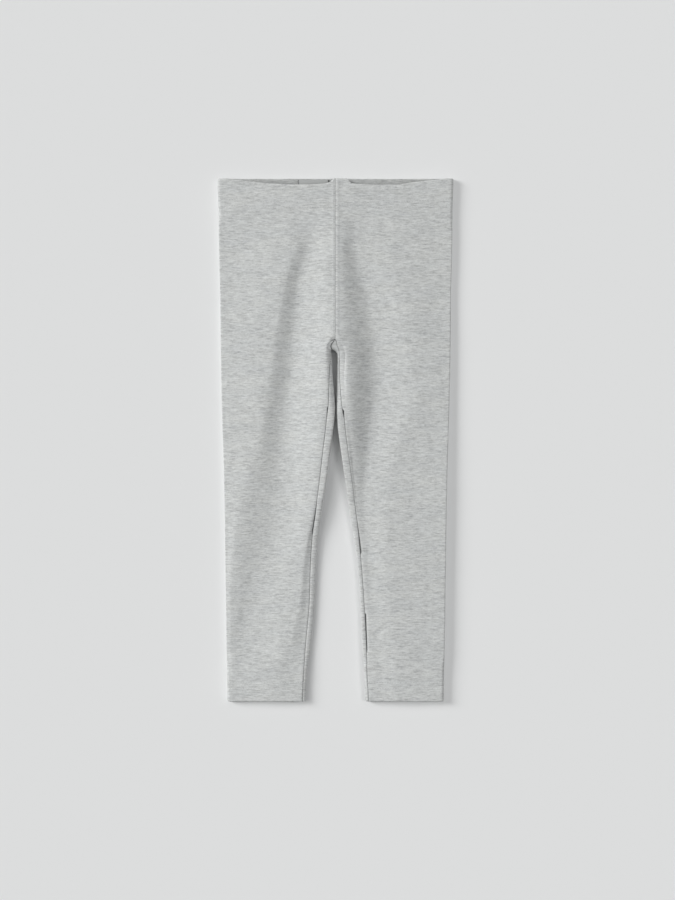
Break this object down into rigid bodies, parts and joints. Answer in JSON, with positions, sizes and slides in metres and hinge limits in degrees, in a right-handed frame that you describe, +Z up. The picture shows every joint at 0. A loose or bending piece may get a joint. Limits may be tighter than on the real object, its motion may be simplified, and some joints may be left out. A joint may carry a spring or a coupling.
{
  "type": "toddler leggings",
  "caption": "Plain heather grey jersey leggings for a small child, laid flat with the front up: two leg panels with a turned-in waist casing and turned-up hems.",
  "frame": {"origin": "on the surface the leggings lie on, under the middle of their bounding box, on the centre-front seam line", "axes": "+X to the wearer's left, +Y along the garment towards the waist, +Z up out of the front"},
  "size_m": [0.2356, 0.522, 0.0127],
  "materials": {
    "heather_jersey": "matte heather grey cotton jersey with short light and dark streaks across the leg",
    "woven_label": "smooth plain woven tape, bare"
  },
  "bodies": {
    "root": {"right_leg_panel": "heather_jersey", "left_leg_panel": "heather_jersey", "waist_label_plain": "woven_label"}
  },
  "joints": []
}
